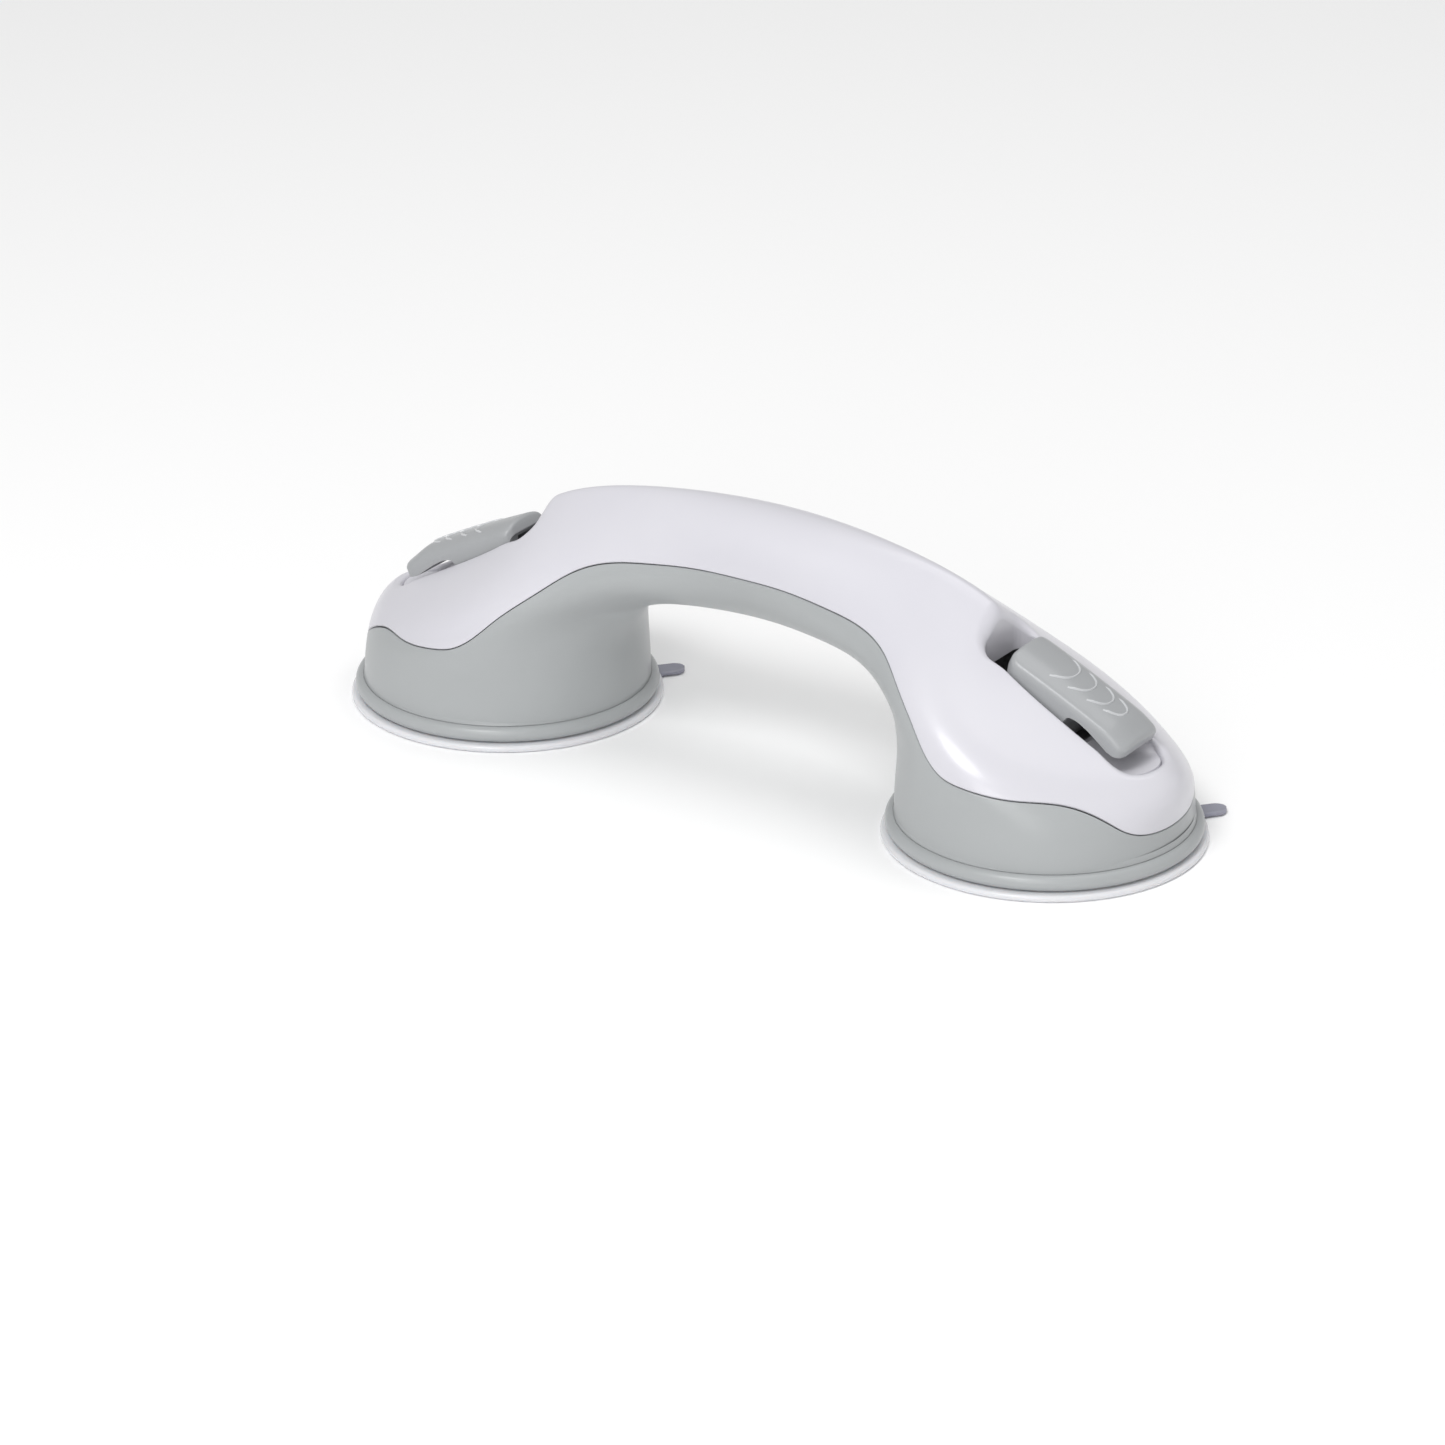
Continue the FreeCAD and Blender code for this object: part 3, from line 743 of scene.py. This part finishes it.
def lever_stations():
    """Distances along the lever where it has a section, close together at both ends and at the cam."""
    ends = [0, 0.04, 0.14, 0.3, 0.52, 0.8, 1.15, 1.6, 2.2]
    first = [LEVER_IN + e for e in ends + [3.0, 4.2]]
    last = [LEVER_OUT - e for e in ends + [2.8, 3.4]][::-1]
    middle = list(np.linspace(first[-1] + 0.9, last[0] - 0.9, 38))
    extra = [9.5, 9.7, 10.4, 10.5, 10.6, 10.7, 11.0, 11.7]
    return sorted(set([round(float(s), 4) for s in first + middle + last + extra]))


def build_lever(name, side):
    """One lever: rows of sections joined along its length, closed at both ends, with its ribs."""
    rows = [lever_section(a, side) for a in lever_stations()]
    count = len(rows[0][0])
    points, faces = [], []
    for right, left in rows:
        points += right + left
    stride = 2 * count

    def quad(a, b, c, d, turn):
        faces.append([a, b, c, d] if turn else [d, c, b, a])

    for k in range(len(rows) - 1):
        for i in range(count - 1):
            a = k * stride + i
            quad(a, a + stride, a + stride + 1, a + 1, side < 0)
            b = a + count
            quad(b, b + stride, b + stride + 1, b + 1, side > 0)
        a = k * stride + count - 1
        quad(a, a + stride, a + stride + count, a + count, side < 0)
    for k in (0, len(rows) - 1):
        for i in range(count - 1):
            a = k * stride + i
            quad(a, a + 1, a + count + 1, a + count, (k == 0) == (side < 0))
    points, faces = merge_close(points, faces)
    plain = len(faces)
    for rib_points, rib_faces in lever_ribs(side):
        faces += [[len(points) + i for i in f] for f in rib_faces]
        points += rib_points
    # The rib faces take the lighter copy of the lever's plastic, which is painted highlight.
    return finish_from(make_object(name, points, faces, lever_plastic, sharp_angle=38), plain, rib_finish_painted_highlight)


def merge_close(points, faces):
    """Joins points that share a place and drops faces that close up."""
    place, kept, index = {}, [], []
    for p in points:
        key = tuple(int(round(c * 2000)) for c in p)
        if key not in place:
            place[key] = len(kept)
            kept.append(list(p))
        index.append(place[key])
    result = []
    for face in faces:
        ring = []
        for i in face:
            if index[i] not in ring:
                ring.append(index[i])
        if len(ring) > 2:
            result.append(ring)
    return kept, result


def lever_ribs(side):
    """Four fine raised arcs that point to the finger tip."""
    ribs = []
    steps, bend = 36, 2.8
    outline = ((-0.40, -0.12), (-0.30, 0.16), (-0.13, 0.42), (0.13, 0.42), (0.30, 0.16), (0.40, -0.12))
    for apex, width, sweep in ((4.1, 13.9, 5.3), (10.7, 12.8, 5.3), (17.6, 11.6, 5.3), (23.2, 9.8, 5.2)):
        points, faces = [], []
        for k in range(steps + 1):
            t = -1 + 2 * k / steps
            taper = min(1.0, (1 - abs(t)) * 9 + 0.02)
            along, across = apex - sweep * abs(t) ** bend, width / 2 * t
            slope = -sweep * bend * abs(t) ** (bend - 1) * math.copysign(1, t) / (width / 2)
            n_along, n_across = 1 / math.hypot(1, slope), -slope / math.hypot(1, slope)
            for offset, rise in outline:
                s, c = along + n_along * offset, across + n_across * offset
                points.append(on_lever(s, c, -lever_top(s, c) - rise * taper, side))
        for k in range(steps):
            for i in range(len(outline) - 1):
                a = k * len(outline) + i
                face = [a, a + 1, a + len(outline) + 1, a + len(outline)]
                faces.append(face if side < 0 else face[::-1])
        ribs.append((points, faces))
    return ribs


# ---------------------------------------------------------------- suction cup

def build_cup(name, side):
    """Soft disc with a thin rounded rim, a hollow below, a sleeve over the stem disc, and its pull tab."""
    centre = side * FOOT_X
    top = cup_high[2]
    profile = [(0.0, 5.5), (6.0, 5.45), (14.0, 5.2), (22.0, 4.55), (30.0, 3.3), (37.0, 1.9), (42.0, 0.75),
             (44.6, 0.2), (46.0, 0.0), (48.9, 0.0)]
    profile += arc((CUP_R - 1.1, 1.12), 1.1, -80, 80, 9)
    profile += [(47.9, 2.34), (46.0, 2.45), (43.5, 2.6), (38.0, 3.9), (30.0, 5.9), (24.0, 7.0), (21.5, 7.6),
              (20.6, 8.6), (20.4, 10.2), (19.9, top - 0.4), (18.8, top), (13.0, top), (12.4, top - 0.5),
              (12.2, top - 0.9)]
    profile = np.array(profile)
    parameter = np.r_[0, np.cumsum(np.hypot(*np.diff(profile, axis=0).T))]
    dense = np.unique(np.r_[parameter, np.linspace(0, parameter[-1], 70)])
    profile = np.stack([np.interp(dense, parameter, profile[:, k]) for k in (0, 1)], 1)
    points, faces, _ = lathe(profile, centre, 176)
    plain = len(faces)
    add_tab(points, faces, centre)
    # The pull tab's faces take the darker PVC copy, which is painted shade.
    return finish_from(make_object(name, points, faces, soft_pvc, sharp_angle=50), plain, tab_finish_painted_shade)


def add_tab(points, faces, centre):
    """Flat tongue that lifts the rim, with a soft edge and a slightly raised border."""
    turn = math.radians(50.0)
    root, reach, half, steps = 46.5, 59.0, 3.75, 28
    outline = ((-1, 0.9, 0.9), (-0.94, 0.45, 1.4), (-0.8, 0.3, 1.72), (-0.6, 0.3, 1.62), (0, 0.3, 1.55),
               (0.6, 0.3, 1.62), (0.8, 0.3, 1.72), (0.94, 0.45, 1.4), (1, 0.9, 0.9))
    start = len(points)
    count = 2 * len(outline) - 2
    for k in range(steps + 1):
        r = root + (reach - root) * k / steps
        gap = reach - r
        width = half if gap > half else math.sqrt(max(half ** 2 - (half - gap) ** 2, 0.0))
        flare = 1.6 * float(1 - smooth(48.6, 51.4, r))
        under = [(share * (width + flare), low) for share, low, high in outline]
        over = [(share * (width + flare), high) for share, low, high in reversed(outline[1:-1])]
        for across, z in under + over:
            points.append((centre + r * math.cos(turn) - across * math.sin(turn),
                           r * math.sin(turn) + across * math.cos(turn), z))
    for k in range(steps):
        for i in range(count):
            a, b = start + k * count + i, start + k * count + (i + 1) % count
            faces.append([a, b, b + count, a + count])


# ---------------------------------------------------------------- assembly

grid_uv, grid_faces = handle_grid()
cover = build_cover(grid_uv, grid_faces)
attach(cover, "handle")
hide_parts("top_cover")
lower = build_lower(grid_uv, grid_faces)
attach(lower, "handle")
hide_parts("lower_body")

for side_name, side in (("left", -1), ("right", 1)):
    lever = build_lever(side_name + "_lever_shell", side)
    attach(lever, side_name + "_lever_arm")
    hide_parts(side_name + "_lever")
    cup = build_cup(side_name + "_cup_soft", side)
    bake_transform(cup)
    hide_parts(side_name + "_suction_cup")
    for node, metal in (("lever_pin", pin_steel), ("cup_stem", stem_plastic), ("cam_washer", washer_steel),
                        ("return_spring", spring_steel)):
        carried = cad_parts[side_name + "_" + node]
        carried.data.materials.clear()
        carried.data.materials.append(metal)
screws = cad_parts["grip_screws"]
screws.data.materials.clear()
screws.data.materials.append(screw_steel)


# ---------------------------------------------------------------- floor, light and camera

def floor_material():
    """Matt, near-white studio floor."""
    mat = bpy.data.materials.new("studio_floor")
    mat.use_nodes = True
    nodes, links = mat.node_tree.nodes, mat.node_tree.links
    shader = nodes["Principled BSDF"]
    shader.inputs["Roughness"].default_value = 0.9
    shader.inputs["Specular IOR Level"].default_value = 0.1
    noise = nodes.new("ShaderNodeTexNoise")
    noise.inputs["Scale"].default_value = 4.0
    ramp = nodes.new("ShaderNodeValToRGB")
    ramp.color_ramp.elements[0].color = (0.96, 0.96, 0.96, 1)
    ramp.color_ramp.elements[1].color = (0.98, 0.98, 0.98, 1)
    links.new(noise.outputs["Fac"], ramp.inputs["Fac"])
    links.new(ramp.outputs["Color"], shader.inputs["Base Color"])
    return mat


def studio():
    """Floor, pale surroundings and three soft round lights aimed at the bar."""
    mesh = bpy.data.meshes.new("studio_floor")
    reach = 8.0
    corners = [(-reach, -reach, 0), (reach, -reach, 0), (reach, reach, 0), (-reach, reach, 0)]
    mesh.from_pydata(corners, [], [[0, 1, 2, 3]])
    mesh.materials.append(floor_material())
    floor = bpy.data.objects.new("studio_floor", mesh)
    bpy.context.scene.collection.objects.link(floor)
    world = bpy.data.worlds.new("studio_world")
    world.use_nodes = True
    background = world.node_tree.nodes["Background"]
    background.inputs["Color"].default_value = (1.0, 1.0, 1.0, 1.0)
    background.inputs["Strength"].default_value = 0.50
    bpy.context.scene.world = world
    lights = (("key", (0.15, -1.25, 1.75), 0.8, 17.0), ("front", (0.7, -1.8, 0.9), 1.0, 9.0),
              ("top", (0.2, 0.5, 2.2), 1.6, 12.0))
    for name, place, size_m, power in lights:
        data = bpy.data.lights.new(name, "AREA")
        data.shape = "DISK"
        data.size = size_m
        data.energy = power
        light = bpy.data.objects.new(name, data)
        light.location = place
        direction = np.array(place) - np.array([0, 0, 0.04])
        flat = math.hypot(direction[0], direction[1])
        light.rotation_euler = (math.atan2(flat, direction[2]), 0, math.atan2(direction[0], -direction[1]))
        bpy.context.scene.collection.objects.link(light)


def camera():
    """Long-lens camera to the front right of the bar, looking down on it."""
    data = bpy.data.cameras.new("camera")
    data.lens = 151.23
    data.sensor_width = 36.0
    data.clip_end = 50.0
    obj = bpy.data.objects.new("camera", data)
    obj.location = (0.94522, -1.45586, 0.76858)
    obj.rotation_euler = (math.radians(66.474), 0.0, math.radians(33.475))
    bpy.context.scene.collection.objects.link(obj)
    bpy.context.scene.camera = obj


studio()
camera()
bpy.context.scene.view_settings.view_transform = "Standard"
bpy.context.scene.view_settings.look = "None"
